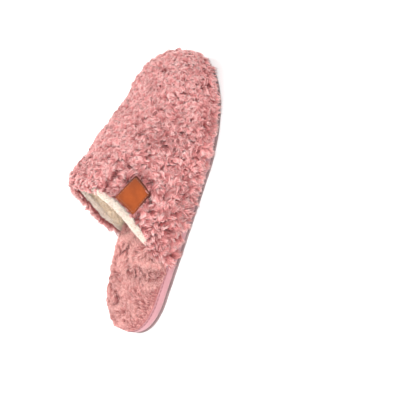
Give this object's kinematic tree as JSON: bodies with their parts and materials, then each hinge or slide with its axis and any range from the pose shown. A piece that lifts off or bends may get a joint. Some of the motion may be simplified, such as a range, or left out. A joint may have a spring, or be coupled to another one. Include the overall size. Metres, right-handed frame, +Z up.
{
  "type": "fluffy house slipper",
  "caption": "Backless fluffy house slipper for the right foot, with a curly pink plush upper and footbed, fleece-lined collar, leather tag and a soft sole that bends at the ball of the foot.",
  "frame": {"origin": "on the ground under the middle of the slipper, half way between the back of the heel and the front of the toe", "axes": "+Y towards the toe, +X to the outer side of the right foot, +Z up"},
  "size_m": [0.1047, 0.264, 0.1052],
  "materials": {
    "outsole": "matte ribbed rubber in a dusty rose grey",
    "midsole_foam": "closed-cell EVA foam",
    "sidewall_cloth": "smooth fine-woven cloth",
    "board": "pressed fibre board",
    "soft_foam": "open-cell foam",
    "footbed_plush": "curly long-pile plush",
    "lining_fleece": "short-pile fleece",
    "upper_plush": "curly long-pile sherpa plush",
    "tape": "woven cotton tape",
    "seam_thread": "sewing thread",
    "tag_leather": "smooth orange-tan leather, burnished edge",
    "tag_thread": "waxed thread"
  },
  "bodies": {
    "rearfoot": {"outsole_rear": "outsole", "midsole_rear": "midsole_foam", "sidewall_wrap_rear": "sidewall_cloth", "insole_board_rear": "board", "footbed_foam_rear": "soft_foam", "footbed_cover_rear": "footbed_plush", "upper_lining_rear": "lining_fleece", "upper_foam_rear": "soft_foam", "upper_plush_rear": "upper_plush", "collar_stay_tape": "tape", "collar_binding": "lining_fleece", "collar_stitches": "seam_thread", "sole_seam_stitches_rear": "seam_thread", "leather_tag": "tag_leather", "tag_stitches": "tag_thread"},
    "forefoot": {"outsole_forefoot": "outsole", "midsole_forefoot": "midsole_foam", "sidewall_wrap_forefoot": "sidewall_cloth", "insole_board_forefoot": "board", "footbed_foam_forefoot": "soft_foam", "footbed_cover_forefoot": "footbed_plush", "upper_lining_forefoot": "lining_fleece", "upper_foam_forefoot": "soft_foam", "upper_plush_forefoot": "upper_plush", "sole_seam_stitches_forefoot": "seam_thread"}
  },
  "joints": [
    {"name": "ball_flex", "type": "hinge", "parent": "rearfoot", "child": "forefoot", "pos_m": [0, 0.044, 0.0131], "axis": [0.9781, -0.2079, 0], "range_deg": [0, 25], "stiffness_Nm_per_rad": 1.2, "deforming": ["footbed_foam_forefoot", "footbed_cover_forefoot", "upper_lining_forefoot", "upper_foam_forefoot", "upper_plush_forefoot"]}
  ]
}
